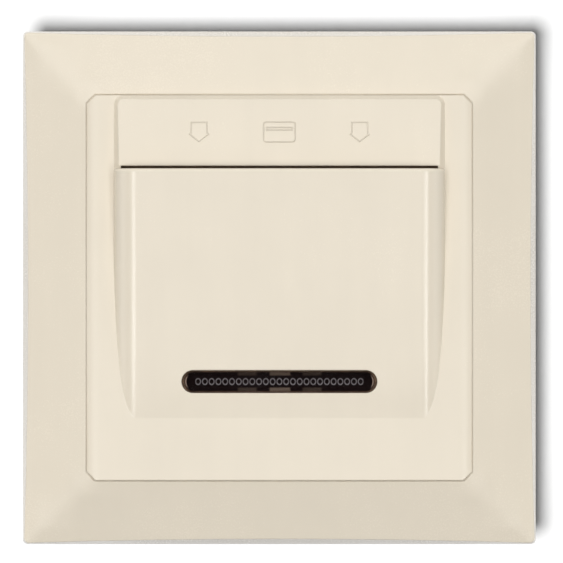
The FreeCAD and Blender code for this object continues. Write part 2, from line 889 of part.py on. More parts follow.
def light_guide():
    """Clear strip with a row of small long rings that glow behind the window."""
    strip = body("light_guide")
    slab = sketch(strip, FRONT, s.diffuser_back)
    rectangle(slab, -s.diffuser_half, s.diffuser_half,
              s.lens_z - s.diffuser_half_height, s.lens_z + s.diffuser_half_height)
    pad(strip, slab, s.diffuser_front - s.diffuser_back)
    bead = sketch(strip, FRONT, s.diffuser_front)
    count = int(2 * (s.lens_half_length - s.lens_half_height) / s.rib_pitch)
    first = -1 * s.rib_pitch * (count - 1) / 2
    six_sided(bead, (first, s.lens_z), s.rib_half_width, s.rib_half_height)
    rib = pad(strip, bead, s.rib_rise)
    well = sketch(strip, FRONT, s.diffuser_front + s.rib_rise)
    six_sided(well, (first, s.lens_z), s.rib_half_width - s.rib_line,
              s.rib_half_height - s.rib_line)
    bore = pocket(strip, well, s.rib_rise)
    row = strip.newObject("PartDesign::LinearPattern", "Ribs")
    row.Originals = [rib, bore]
    row.Direction = (bead, ["H_Axis"])
    row.Occurrences = count
    bind(row, "Length", s.rib_pitch * (count - 1))
    finish(strip, row)
    return strip


def mounting_bridge():
    """Steel plate screwed to the wall box."""
    bridge = body("mounting_bridge")
    sheet_outline = sketch(bridge, FRONT, 0.0)
    cut_square(sheet_outline, s.bridge_half, s.bridge_corner_cut)
    pad(bridge, sheet_outline, s.bridge_thick)
    window = sketch(bridge, FRONT, s.bridge_thick)
    cut_square(window, s.bridge_window_half, s.bridge_window_cut)
    pocket(bridge, window, s.bridge_thick)
    line = s.screw_line / 2
    for centre, upright in (((line, 0.0), False), ((-line, 0.0), False),
                            ((0.0, line), True), ((0.0, -line), True)):
        slot = sketch(bridge, FRONT, s.bridge_thick)
        obround(slot, centre, s.slot_length / 2, s.slot_half_width, upright=upright)
        pocket(bridge, slot, s.bridge_thick)
    for centre in case_places():
        case_hole = sketch(bridge, FRONT, s.bridge_thick)
        disc(case_hole, centre, s.case_screw_radius + s.screw_gap)
        pocket(bridge, case_hole, s.bridge_thick)
    for side in (1, -1):
        hole = sketch(bridge, FRONT, s.bridge_thick)
        disc(hole, (side * claw_screw_x, -side * s.claw_z), s.claw_screw_radius + s.screw_gap)
        pocket(bridge, hole, s.bridge_thick)
        for end in (1, -1):
            hook = sketch(bridge, FRONT, s.bridge_thick)
            half = s.hook_width / 2 + s.hook_window_gap
            tall = s.hook_thick / 2 + s.hook_window_gap
            rectangle(hook, side * s.hook_x - half, side * s.hook_x + half,
                      end * s.hook_z - tall, end * s.hook_z + tall)
            pocket(bridge, hook, s.bridge_thick)
    return bridge


def box(owner, left, right, low, top, depth, length, cutting=False):
    """A block seen from the front, from one depth out to another."""
    made = sketch(owner, FRONT, depth)
    rectangle(made, left, right, low, top)
    if cutting:
        return pocket(owner, made, length, out=True)
    return pad(owner, made, length)


def mechanism_base():
    """Deep housing in the wall box, open to the front, with lugs for the claws."""
    base = body("mechanism_base")
    rim = sketch(base, FRONT, 0.0)
    cut_square(rim, s.base_half, s.base_corner_cut)
    pad(base, rim, s.base_depth, back=True)
    inside = sketch(base, FRONT, 0.0)
    cut_square(inside, s.base_half - s.base_wall, s.base_corner_cut)
    pocket(base, inside, floor_y)
    screw_posts(base)
    for side in (1, -1):
        terminal_bay(base, side)
        for end in (1, -1):
            claw_lug(base, side, end)
    boss_half = s.leaf_half + s.base_wall / 2
    box(base, -boss_half, boss_half, s.leaf_foot_low, s.leaf_foot_top, -floor_y,
        floor_y - s.leaf_foot)
    box(base, -s.base_wall / 2, s.base_wall / 2, s.partition_low, s.base_half - s.base_wall,
        -floor_y, floor_y - s.partition_front)
    return base


def case_places():
    """Centres of the two case screws, in opposite corners of the housing."""
    return [(-case_screw_at, case_screw_at), (case_screw_at, -case_screw_at)]


def screw_posts(base):
    """Posts that take the case screws."""
    for centre in case_places():
        post = sketch(base, FRONT, -floor_y)
        disc(post, centre, s.case_post_radius)
        pad(base, post, floor_y)
        bore = sketch(base, FRONT, 0.0)
        disc(bore, centre, s.case_screw_radius + s.screw_gap)
        pocket(base, bore, s.case_screw_length)


def terminal_bay(base, side):
    """Rail behind a contact blade, and the wire entry and button hole of a terminal."""
    blade_out = s.blade_x + s.blade_thick
    wall_middle = s.base_half - s.base_wall / 2
    left, right = sorted((side * blade_out, side * wall_middle))
    box(base, left, right, s.rail_low, s.cage_top, -floor_y, floor_y - s.rail_front)
    entry_out = s.blade_x - s.entry_margin
    through = 2 * s.base_wall
    left, right = sorted((side * (entry_out - s.entry_width), side * entry_out))
    box(base, left, right, s.entry_low, s.entry_top, -s.base_depth, through, cutting=True)
    button = side * release_x()
    half = s.release_width / 2 + s.release_gap
    box(base, button - half, button + half, s.entry_low, s.entry_top, -s.base_depth,
        through, cutting=True)


def release_x():
    """Centre line of a release button, beside the wire entry of its terminal."""
    entry_left = s.blade_x - s.entry_margin - s.entry_width
    return entry_left - s.release_wall - s.release_width / 2


def claw_lug(base, side, end):
    """One ear beside a claw, with a slot that the bridge closes over the trunnion."""
    centre = -side * s.claw_z
    near_z = centre + end * (s.claw_half + s.lug_gap)
    far_z = near_z + end * s.lug_thick
    low, top = sorted((near_z, far_z))
    left, right = sorted((side * (s.base_half - s.base_wall / 2), side * lug_reach))
    box(base, left, right, low, top, -s.lug_depth, s.lug_depth)
    radius = s.trunnion_radius + s.trunnion_gap
    slot = sketch(base, TOP, low)
    x = side * claw_pivot_x
    outline(slot, [
        (x - radius, -s.cut_past), (x + radius, -s.cut_past),
        (x + radius, s.claw_pivot_y), (x - radius, s.claw_pivot_y),
    ], {2: radius}, {2: ("DistanceY", s.claw_pivot_y)})
    pocket(base, slot, s.lug_thick, out=True)


def mechanism_cover():
    """Front cover of the housing, with the bearings of the card lever."""
    cover = body("mechanism_cover")
    plate = sketch(cover, FRONT, s.bridge_thick)
    cut_square(plate, s.base_half, s.base_corner_cut)
    pad(cover, plate, s.cover_thick)
    inner = s.hub_half + s.ear_gap
    for left in (inner, -inner - s.ear_thick):
        ear = sketch(cover, SIDE, left)
        outline(ear, [
            (s.ear_root - cover_front, s.pivot_z - s.ear_foot_half),
            (s.ear_root - cover_front, s.pivot_z + s.ear_foot_half),
            (-cover_front, s.pivot_z + s.ear_foot_half),
            (-s.pivot_depth, s.pivot_z + s.ear_round),
            (-s.pivot_depth, s.pivot_z - s.ear_round),
            (-cover_front, s.pivot_z - s.ear_foot_half),
        ], {3: s.ear_round}, {3: ("DistanceX", -s.pivot_depth)})
        pad(cover, ear, s.ear_thick)
    bearing = sketch(cover, SIDE)
    disc(bearing, (-s.pivot_depth, s.pivot_z), s.pin_radius + s.pin_gap)
    pocket(cover, bearing, 2 * (inner + s.ear_thick + s.cut_past), both=True)
    stem = s.stem_half + s.stem_gap
    box(cover, -stem, stem, s.carrier_z - stem, s.carrier_z + stem + s.stem_swing, 0.0,
        cover_front + s.cut_past, cutting=True)
    for side in (1, -1):
        pin_hole(cover, side, s.pin_hole_gap, cover_front + s.cut_past)
    for centre in case_places():
        hole = sketch(cover, FRONT, 0.0)
        disc(hole, centre, s.case_screw_radius + s.screw_gap)
        pocket(cover, hole, cover_front + s.cut_past, out=True)
    return cover


def screw(label, places, seat, head_radius, head_height, radius, length):
    """Slotted cheese-head screws, one solid at each place."""
    made = body(label)
    for x, z in places:
        head = sketch(made, FRONT, seat)
        disc(head, (x, z), head_radius)
        pad(made, head, head_height)
        shank = sketch(made, FRONT, seat)
        disc(shank, (x, z), radius)
        pad(made, shank, length, back=True)
        box(made, x - head_radius, x + head_radius, z - s.drive_half, z + s.drive_half,
            seat + head_height - s.drive_depth, s.drive_depth + s.cut_past, cutting=True)
    return made


def case_screws():
    """Two screws that clamp the cover and the bridge to the housing."""
    screws = []
    for number, centre in enumerate(case_places(), start=1):
        screws.append(screw(f"case_screw_{number}", [centre], cover_front, s.case_head_radius,
                            s.case_head_height, s.case_screw_radius, s.case_screw_length))
    return group("case_screws", screws)


def group(label, members):
    """Separate solids kept under one name."""
    made = document.addObject("Part::Compound", label)
    made.Label = label
    made.Links = members
    document.recompute()
    return made


def claw(label, turned):
    """Bent steel claw that swings out against the wall of the box."""
    made = body(label)
    inner = claw_pivot_x - s.claw_thick / 2
    arm_out = inner + s.claw_thick
    front = s.claw_pivot_y - s.claw_thick / 2
    web_back = front + s.claw_thick
    form = sketch(made, TOP, -s.claw_z - s.claw_half)
    foot_front = s.claw_length - s.claw_thick
    outline(form, [
        (inner, front), (claw_reach, front), (claw_reach, web_back),
        (arm_out, web_back), (arm_out, foot_front), (claw_foot_reach - s.claw_tooth, foot_front),
        (claw_foot_reach, s.claw_length), (inner, s.claw_length),
    ])
    pad(made, form, 2 * s.claw_half)
    hole = sketch(made, FRONT, 0.0)
    disc(hole, (claw_screw_x, -s.claw_z), s.claw_screw_radius + s.claw_screw_play)
    pocket(made, hole, s.lug_depth)
    long_half = s.claw_half + s.lug_gap + s.lug_thick - s.trunnion_gap
    stub = sketch(made, TOP, -s.claw_z - long_half)
    disc(stub, (claw_pivot_x, s.claw_pivot_y), s.trunnion_radius)
    pad(made, stub, 2 * long_half)
    notch = sketch(made, FRONT, 0.0)
    tooth = s.claw_tooth
    rectangle(notch, arm_out + tooth, claw_foot_reach + s.cut_past,
              -s.claw_z - tooth, -s.claw_z + tooth)
    pocket(made, notch, s.base_depth)
    if turned:
        half_turn(made)
    return made


def half_turn(made):
    """Turn a finished piece to the opposite side of the housing."""
    turn = FreeCAD.Rotation(FreeCAD.Vector(0, 1, 0), 180)
    made.Placement = FreeCAD.Placement(FreeCAD.Vector(0, 0, 0), turn)


def claw_screw(label, turned):
    seat = s.bridge_thick + s.pin_gap
    made = screw(label, [(claw_screw_x, -s.claw_z)], seat, s.claw_head_radius,
                 s.claw_head_height, s.claw_screw_radius, s.claw_screw_length)
    if turned:
        half_turn(made)
    return made


def card_lever():
    """Lever whose nose stands in the card pocket, and which carries the contacts."""
    lever = body("card_lever")
    arm = sketch(lever, SIDE)
    outline(arm, [
        (-s.arm_back, s.pivot_z), (-s.arm_back, s.arm_low),
        (-s.arm_front, s.arm_low), (-nose_tip + s.nose_radius, s.nose_z - s.nose_radius),
        (-nose_tip + s.nose_radius, s.nose_z + s.nose_radius),
        (-s.arm_front, s.nose_z + s.nose_foot), (-s.arm_front, s.pivot_z),
    ], {3: -1 * s.nose_radius}, {3: ("DistanceX", -nose_tip + s.nose_radius)})
    pad(lever, arm, 2 * s.arm_half, both=True)
    hub = sketch(lever, SIDE)
    disc(hub, (-s.pivot_depth, s.pivot_z), s.hub_radius)
    pad(lever, hub, 2 * s.hub_half, both=True)
    bore = sketch(lever, SIDE)
    disc(bore, (-s.pivot_depth, s.pivot_z), s.pin_radius + s.pin_gap)
    pocket(lever, bore, 2 * (s.hub_half + s.cut_past), both=True)
    return lever


def lever_pin():
    pin = body("lever_pin")
    rod = sketch(pin, SIDE)
    disc(rod, (-s.pivot_depth, s.pivot_z), s.pin_radius)
    pad(pin, rod, 2 * (s.hub_half + s.ear_gap + s.ear_thick + s.pin_overhang), both=True)
    return pin


def contact_carrier():
    """Stem from the lever's arm through the cover to the moving contact."""
    carrier = body("contact_carrier")
    z = s.carrier_z
    head_back = s.arm_back - s.carrier_head_thick
    box(carrier, -s.carrier_head_half, s.carrier_head_half, z - s.carrier_head_half,
        z + s.carrier_head_half, head_back, s.carrier_head_thick)
    front_of_block = s.bridge_thick - s.block_gap
    box(carrier, -s.stem_half, s.stem_half, z - s.stem_half, z + s.stem_half,
        front_of_block, head_back - front_of_block)
    box(carrier, -s.block_half_width, s.block_half_width, z - s.block_half_height,
        z + s.block_half_height, -s.block_back, s.block_back + front_of_block)
    box(carrier, -s.tail_half, s.tail_half, z - s.tail_half, z + s.tail_half,
        -s.tail_end, s.tail_end - s.block_back)
    return carrier


def moving_contact():
    """Brass strip that bridges the two fixed contacts."""
    strip = body("moving_contact")
    z = s.carrier_z
    back = s.block_back + s.strip_thick
    box(strip, -s.strip_half, s.strip_half, z - s.strip_half_height, z + s.strip_half_height,
        -back, s.strip_thick)
    hole = s.tail_half + s.pin_gap
    box(strip, -hole, hole, z - hole, z + hole, -back - s.cut_past,
        s.strip_thick + 2 * s.cut_past, cutting=True)
    return strip


def contact_tips(label, y, z, thick):
    tips = []
    for side in (1, -1):
        tip = body(f"{label}_{len(tips) + 1}")
        face = sketch(tip, FRONT, -y - thick)
        eight_sided(face, (side * s.tip_x, z), s.tip_radius, s.tip_radius)
        pad(tip, face, thick)
        tips.append(tip)
    return group(label, tips)


def fixed_contact(label, side):
    """Brass bracket from a terminal to the tip, with a branch to the lamp's pin."""
    made = body(label)
    z = s.carrier_z
    out = s.blade_x + s.blade_thick
    left, right = sorted((side * s.tongue_start, side * out))
    back = tongue_front + s.tongue_thick
    box(made, left, right, z - s.tongue_half_height, z + s.tongue_half_height,
        -back, s.tongue_thick)
    branch = s.branch_half
    box(made, side * s.pin_x - branch, side * s.pin_x + branch, s.pin_z - branch,
        z - s.tongue_half_height + s.tongue_thick, -back, s.tongue_thick)
    blade_left, blade_right = sorted((side * s.blade_x, side * out))
    box(made, blade_left, blade_right, z - s.tongue_half_height, s.cage_top - s.cage_thick * 2,
        -s.blade_back, s.blade_back - tongue_front)
    return made


def return_spring():
    """Leaf spring under the carrier's tail, standing on a boss of the housing."""
    leaf = body("return_spring")
    made = sketch(leaf, SIDE)
    top = s.carrier_z + s.leaf_reach
    knee = s.carrier_z - s.leaf_reach
    touch = s.tail_end + s.leaf_gap
    foot = s.leaf_foot - s.leaf_thick
    run = foot - touch
    fall = knee - s.leaf_foot_top
    lift = s.leaf_thick * run / (root(run * run + fall * fall) + fall)
    outline(made, [
        (touch, top), (touch, knee), (foot, s.leaf_foot_top), (foot, s.leaf_foot_low),
        (s.leaf_foot, s.leaf_foot_low), (s.leaf_foot, s.leaf_foot_top + lift),
        (touch + s.leaf_thick, knee + lift), (touch + s.leaf_thick, top),
    ])
    pad(leaf, made, 2 * s.leaf_half, both=True)
    return leaf


def terminal(label, side):
    """Brass cage of a screwless terminal, open towards the wire entry."""
    cage = body(label)
    left = side * cage_x - s.cage_width / 2
    made = sketch(cage, SIDE, left)
    outline(made, [
        (s.cage_front, s.cage_low), (floor_y, s.cage_low), (floor_y, s.cage_low + s.cage_thick),
        (s.cage_front + s.cage_thick, s.cage_low + s.cage_thick),
        (s.cage_front + s.cage_thick, s.cage_top - s.cage_thick),
        (floor_y, s.cage_top - s.cage_thick), (floor_y, s.cage_top), (s.cage_front, s.cage_top),
    ])
    pad(cage, made, s.cage_width)
    return cage


def clamp_springs():
    """One bent leaf in each cage, which bites the wire and opens when pressed."""
    springs = []
    for side in (1, -1):
        spring = body(f"clamp_spring_{len(springs) + 1}")
        made = sketch(spring, SIDE, side * cage_x - s.cage_width / 2 + s.clamp_side)
        low = s.cage_low + s.cage_thick
        thick = s.clamp_thick
        bend = s.clamp_front + s.clamp_bend
        far = low + 2 * s.clamp_bend
        tip = s.cage_top - s.cage_thick - s.clamp_gap
        outline(made, [
            (clamp_end, low), (clamp_end, low + thick), (bend, low + thick),
            (bend, far - thick), (clamp_end - thick, tip - thick), (clamp_end, tip),
            (bend, far), (bend, low),
        ], {2: -1 * (s.clamp_bend - thick), 6: s.clamp_bend},
            {2: ("DistanceX", bend), 6: ("DistanceX", bend)})
        pad(spring, made, s.cage_width - 2 * s.clamp_side)
        springs.append(spring)
    return group("clamp_springs", springs)


def release_button(label, side):
    """Button at the back that opens the clamp when it is pushed in."""
    button = body(label)
    x = side * release_x()
    half = s.release_width / 2
    low = s.entry_low + s.release_gap
    top = s.entry_top - s.release_gap
    end = s.base_depth + s.release_out
    box(button, x - half, x + half, low, top, -end, end - clamp_end - s.release_gap)
    lip_back = floor_y - s.release_gap
    box(button, x - half, x + half, s.entry_low - s.release_lip, low, -lip_back,
        s.release_lip_thick)
    return button


def lamp_board():
    board = body("lamp_board")
    box(board, -s.board_half, s.board_half, s.board_low, s.board_top, cover_front, s.board_thick)
    for side in (1, -1):
        pin_hole(board, side, s.pin_gap, board_front + s.cut_past)
    return board


def pin_hole(owner, side, gap, length):
    """A square hole that a lamp pin stands in."""
    x = side * s.pin_x
    half = s.lamp_pin_half + gap
    box(owner, x - half, x + half, s.pin_z - half, s.pin_z + half, 0.0, length, cutting=True)


def glow_lamp():
    """Glass lamp with a tapered nose, lying over its board."""
    lamp = body("glow_lamp")
    made = sketch(lamp, TOP, s.lens_z)
    axis = board_front + s.lamp_gap + s.lamp_radius
    straight = s.lamp_half - s.lamp_radius / 2
    outline(made, [
        (-s.lamp_half, -axis - s.lamp_radius), (straight, -axis - s.lamp_radius),
        (s.lamp_half, -axis - s.lamp_radius / 2), (s.lamp_half, -axis), (-s.lamp_half, -axis),
    ])
    turned = lamp.newObject("PartDesign::Revolution", "Glass")
    turned.Profile = made
    turned.ReferenceAxis = (made, ["Edge4"])
    turned.Angle = 360
    finish(lamp, turned)
    return lamp


def lamp_leads():
    """Two wires from the ends of the lamp down to the board."""
    leads = []
    axis = board_front + s.lamp_gap + s.lamp_radius
    for side in (1, -1):
        lead = body(f"lamp_lead_{len(leads) + 1}")
        foot = sketch(lead, FRONT, board_front)
        end = s.lamp_half + s.lead_reach
        eight_sided(foot, (side * end, s.lens_z), s.lead_radius, s.lead_radius)
        pad(lead, foot, axis - board_front + s.lead_radius)
        along = sketch(lead, SIDE, side * s.lamp_half)
        eight_sided(along, (-axis, s.lens_z), s.lead_radius, s.lead_radius)
        pad(lead, along, s.lead_reach, back=side < 0)
        leads.append(lead)
    return group("lamp_leads", leads)


def lamp_resistor():
    made = body("lamp_resistor")
    rod = sketch(made, TOP, s.resistor_low)
    disc(rod, (s.resistor_x, -board_front - s.resistor_radius), s.resistor_radius)
    pad(made, rod, 2 * s.resistor_half)
    return made


def lamp_pins():
    """Square pins from the board to the branches of the fixed contacts."""
    pins = []
    half = s.lamp_pin_half
    for side in (1, -1):
        pin = body(f"lamp_pin_{len(pins) + 1}")
        x = side * s.pin_x
        box(pin, x - half, x + half, s.pin_z - half, s.pin_z + half, -tongue_front,
            tongue_front + board_front + half)
        pins.append(pin)
    return group("lamp_pins", pins)


def export(parts):
    """Check every object and every sub-part, then write one file for each sub-part."""
    document.recompute()
    for thing in document.Objects:
        if "Invalid" in thing.State or "Error" in thing.State:
            raise RuntimeError(f"{thing.Label} failed: {thing.State}")
    for part in parts:
        if part.Shape.isNull() or not part.Shape.isValid() or not part.Shape.Solids:
            raise RuntimeError(f"{part.Label} has no valid solid")
    os.makedirs("parts", exist_ok=True)
    for part in parts:
        part.Shape.exportStep(f"parts/{part.Label}.step")
        reach = part.Shape.BoundBox
        print(part.Label, len(part.Shape.Solids), round(part.Shape.Volume, 1),
              [round(v, 2) for v in (reach.XMin, reach.YMin, reach.ZMin,
                                 reach.XMax, reach.YMax, reach.ZMax)])


export([
    cover_frame(),
    centre_plate(),
    card_guide(),
    indicator_lens(),
    light_guide(),
    mounting_bridge(),
    mechanism_base(),
    mechanism_cover(),
    case_screws(),
    card_lever(),
    lever_pin(),
    contact_carrier(),
    moving_contact(),
    contact_tips("moving_contact_tips", moving_tip_front, s.carrier_z, s.tip_thick),
    contact_tips("fixed_contact_tips", fixed_tip_front, s.carrier_z + s.contact_wipe,
                 s.fixed_tip_thick),
    fixed_contact("fixed_contact_left", -1),
    fixed_contact("fixed_contact_right", 1),
    return_spring(),
    terminal("terminal_line", -1),
    terminal("terminal_load", 1),
    clamp_springs(),
    release_button("release_button_line", -1),
    release_button("release_button_load", 1),
    lamp_board(),
    glow_lamp(),
    lamp_leads(),
    lamp_resistor(),
    lamp_pins(),
    claw("claw_left", True),
    claw("claw_right", False),
    claw_screw("claw_screw_left", True),
    claw_screw("claw_screw_right", False),
])
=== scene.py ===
import json
import math

import bmesh
import bpy
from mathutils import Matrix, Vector


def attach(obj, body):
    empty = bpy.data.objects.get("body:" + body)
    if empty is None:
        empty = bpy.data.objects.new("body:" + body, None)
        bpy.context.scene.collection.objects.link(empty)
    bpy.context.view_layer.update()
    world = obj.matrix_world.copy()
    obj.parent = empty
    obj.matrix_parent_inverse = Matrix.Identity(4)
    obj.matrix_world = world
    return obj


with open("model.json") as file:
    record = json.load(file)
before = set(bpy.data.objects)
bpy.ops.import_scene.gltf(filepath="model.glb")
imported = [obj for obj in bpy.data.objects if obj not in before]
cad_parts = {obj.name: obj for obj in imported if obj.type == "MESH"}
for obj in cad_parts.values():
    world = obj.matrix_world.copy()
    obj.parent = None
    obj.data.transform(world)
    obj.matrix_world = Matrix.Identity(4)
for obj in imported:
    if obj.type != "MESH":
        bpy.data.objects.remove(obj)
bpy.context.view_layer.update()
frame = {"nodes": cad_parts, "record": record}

MM = 0.001
nodes = frame["nodes"]

# Helpers for material nodes


def new_material(name):
    made = bpy.data.materials.new(name)
    made.use_nodes = True
    tree = made.node_tree
    tree.nodes.clear()
    shader = tree.nodes.new("ShaderNodeBsdfPrincipled")
    output = tree.nodes.new("ShaderNodeOutputMaterial")
    tree.links.new(shader.outputs["BSDF"], output.inputs["Surface"])
    return made, tree, shader


def places(tree, stretch=(1, 1, 1)):
    """Object coordinates in millimetres, squeezed along chosen axes."""
    source = tree.nodes.new("ShaderNodeTexCoord")
    mapping = tree.nodes.new("ShaderNodeMapping")
    for axis in range(3):
        mapping.inputs["Scale"].default_value[axis] = stretch[axis] / MM
    tree.links.new(source.outputs["Object"], mapping.inputs["Vector"])
    return mapping.outputs["Vector"]


def axes(tree, place):
    split = tree.nodes.new("ShaderNodeSeparateXYZ")
    tree.links.new(place, split.inputs["Vector"])
    return split.outputs


def noise(tree, place, size, detail=2.0, rough=0.5):
    """Noise whose features are about size millimetres wide."""
    node = tree.nodes.new("ShaderNodeTexNoise")
    node.inputs["Scale"].default_value = 1 / size
    node.inputs["Detail"].default_value = detail
    node.inputs["Roughness"].default_value = rough
    tree.links.new(place, node.inputs["Vector"])
    return node.outputs["Fac"]


def remap(tree, value, low, high, start=0.3, stop=0.7):
    """A value carried from start and stop, where noise mostly lies, to low and high."""
    node = tree.nodes.new("ShaderNodeMapRange")
    node.inputs["From Min"].default_value = start
    node.inputs["From Max"].default_value = stop
    node.inputs["To Min"].default_value = low
    node.inputs["To Max"].default_value = high
    tree.links.new(value, node.inputs["Value"])
    return node.outputs["Result"]


def rising(tree, value, *span):
    return remap(tree, value, 0.0, 1.0, *span)


def falling(tree, value, *span):
    return remap(tree, value, 1.0, 0.0, *span)


def around_zero(tree, value, reach):
    return remap(tree, value, -reach, reach)


def combine(tree, operation, one, other):
    """A math node of two values, each a number or a socket."""
    node = tree.nodes.new("ShaderNodeMath")
    node.operation = operation
    for socket, value in zip(node.inputs, (one, other)):
        if isinstance(value, (int, float)):
            socket.default_value = value
        else:
            tree.links.new(value, socket)
    return node.outputs["Value"]


def plus(tree, one, other):
    return combine(tree, "ADD", one, other)


def minus(tree, one, other):
    return combine(tree, "SUBTRACT", one, other)


def times(tree, one, other):
    return combine(tree, "MULTIPLY", one, other)


def larger(tree, one, other):
    return combine(tree, "MAXIMUM", one, other)


def only(tree, operation, value):
    """A math node that takes one value."""
    node = tree.nodes.new("ShaderNodeMath")
    node.operation = operation
    tree.links.new(value, node.inputs[0])
    return node.outputs["Value"]


def absolute(tree, value):
    return only(tree, "ABSOLUTE", value)


def distance(tree, one, other):
    """The length of the line whose two square parts these are."""
    return only(tree, "SQRT", plus(tree, times(tree, one, one), times(tree, other, other)))


def band(tree, value, centre, half, soft):
    """One within half a width of the centre, falling to zero over a soft edge."""
    away = absolute(tree, minus(tree, value, centre))
    return falling(tree, away, half - soft, half + soft)


def typed(sockets, name, kind):
    """The mix node has a socket of each name for every type: the one of this type."""
    return [socket for socket in sockets if socket.name == name and socket.type == kind][0]


def blend_colours(tree, factor, one, other):
    node = tree.nodes.new("ShaderNodeMix")
    node.data_type = "RGBA"
    tree.links.new(factor, node.inputs["Factor"])
    for name, colour in (("A", one), ("B", other)):
        target = typed(node.inputs, name, "RGBA")
        if isinstance(colour, tuple):
            target.default_value = (*colour, 1)
        else:
            tree.links.new(colour, target)
    return typed(node.outputs, "Result", "RGBA")


def scaled(colour, factor):
    return tuple(min(1.0, part * factor) for part in colour)


def surface(tree, shader, colours, rough):
    tree.links.new(colours, shader.inputs["Base Color"])
    tree.links.new(rough, shader.inputs["Roughness"])


# Rounded edges, made by the shading alone

MITRE_RADIUS = 5.0
MITRE_SAMPLES = 16
MITRE_STARTS = (34.0, 37.0)
MITRE_ENDS = (39.5, 43.0)
MITRE_HALF = (3.5, 7.0)


def edge_normal(tree, radius, samples=8):
    """A normal that shades edges as if they were rounded to a radius in millimetres."""
    edge = tree.nodes.new("ShaderNodeBevel")
    edge.samples = samples
    edge.inputs["Radius"].default_value = radius * MM
    return edge.outputs["Normal"]


def mitre_normal(tree, narrow):
    """Wide rounding along the frame's mitres, clear of its lip and its opening."""
    x, _, z = axes(tree, places(tree))
    wide, high = absolute(tree, x), absolute(tree, z)
    out = larger(tree, wide, high)
    face = times(tree, rising(tree, out, *MITRE_STARTS), falling(tree, out, *MITRE_ENDS))
    apart = absolute(tree, minus(tree, wide, high))
    mask = times(tree, face, falling(tree, apart, *MITRE_HALF))
    mix = tree.nodes.new("ShaderNodeMix")
    mix.data_type = "VECTOR"
    tree.links.new(mask, mix.inputs["Factor"])
    tree.links.new(narrow, typed(mix.inputs, "A", "VECTOR"))
    broad = edge_normal(tree, MITRE_RADIUS, MITRE_SAMPLES)
    tree.links.new(broad, typed(mix.inputs, "B", "VECTOR"))
    unit = tree.nodes.new("ShaderNodeVectorMath")
    unit.operation = "NORMALIZE"
    tree.links.new(typed(mix.outputs, "Result", "VECTOR"), unit.inputs[0])
    return unit.outputs["Vector"]


def bump(tree, shader, height, strength, depth, soft_edge=0.0, soft_mitre=False):
    """Relief from a height. A soft edge shades the edges as if they were rounded."""
    node = tree.nodes.new("ShaderNodeBump")
    node.inputs["Strength"].default_value = strength
    node.inputs["Distance"].default_value = depth * MM
    if soft_edge:
        normal = edge_normal(tree, soft_edge)
        if soft_mitre:
            normal = mitre_normal(tree, normal)
        tree.links.new(normal, node.inputs["Normal"])
    tree.links.new(height, node.inputs["Height"])
    tree.links.new(node.outputs["Normal"], shader.inputs["Normal"])


# Plastics and metals

PLASTIC_IOR = 1.5
FLOW_STRETCH = (1, 1, 0.12)
FLOW_SHARE = 0.35
ZINC_CRYSTAL = 2.4
ZINC_ROLLED = (0.06, 1, 1)
ZINC_DARK = (0.50, 0.51, 0.52)
ZINC_LIGHT = (0.64, 0.64, 0.62)
ZINC_ROUGH = (0.26, 0.36)


def moulded(name, colour, rough, grain=0.25, depth=0.004, uneven=0.02, soft_edge=0.0,
            soft_mitre=False):
    """Injection-moulded plastic: an eroded mould's grain, flow marks and faint mottling."""
    made, tree, shader = new_material(name)
    place = places(tree)
    broad = noise(tree, place, size=14.0, detail=3.0)
    fine = noise(tree, place, size=grain, detail=3.0, rough=0.6)
    flow = noise(tree, places(tree, FLOW_STRETCH), size=3.5, detail=2.0)
    tint = plus(tree, times(tree, broad, 1 - FLOW_SHARE), times(tree, flow, FLOW_SHARE))
    colours = blend_colours(tree, rising(tree, tint), scaled(colour, 1 - uneven),
                            scaled(colour, 1 + uneven))
    worn = plus(tree, around_zero(tree, broad, 0.03), around_zero(tree, fine, 0.05))
    surface(tree, shader, colours, plus(tree, worn, rough))
    shader.inputs["IOR"].default_value = PLASTIC_IOR
    bump(tree, shader, fine, 0.35, depth, soft_edge, soft_mitre)
    return made


def metal(name, colour, rough, stretch=(1, 1, 1), grain=0.12, depth=0.003, stain=0.08):
    """Rolled, stamped or plated metal: drawn grain, faint stains and uneven gloss."""
    made, tree, shader = new_material(name)
    lines = noise(tree, places(tree, stretch), size=grain, detail=3.0, rough=0.6)
    cloud = noise(tree, places(tree), size=4.0, detail=4.0, rough=0.6)
    colours = blend_colours(tree, rising(tree, cloud), scaled(colour, 1 - stain), colour)
    uneven = plus(tree, around_zero(tree, lines, 0.08), around_zero(tree, cloud, 0.05))
    surface(tree, shader, colours, plus(tree, uneven, rough))
    shader.inputs["Metallic"].default_value = 1.0
    bump(tree, shader, lines, 0.4, depth)
    return made


def zinc(name):
    """Zinc-plated sheet with the crystal pattern that such steel shows."""
    made, tree, shader = new_material(name)
    cells = tree.nodes.new("ShaderNodeTexVoronoi")
    cells.inputs["Scale"].default_value = 1 / ZINC_CRYSTAL
    tree.links.new(places(tree), cells.inputs["Vector"])
    crystal = tree.nodes.new("ShaderNodeSeparateColor")
    tree.links.new(cells.outputs["Color"], crystal.inputs["Color"])
    lines = noise(tree, places(tree, ZINC_ROLLED), size=0.15, detail=3.0)
    colours = blend_colours(tree, crystal.outputs["Red"], ZINC_DARK, ZINC_LIGHT)
    rough = remap(tree, crystal.outputs["Green"], *ZINC_ROUGH, 0, 1)
    surface(tree, shader, colours, plus(tree, rough, around_zero(tree, lines, 0.05)))
    shader.inputs["Metallic"].default_value = 1.0
    bump(tree, shader, lines, 0.25, depth=0.003)
    return made


# The smoked window and the light strip behind it, both placed by the window's middle line

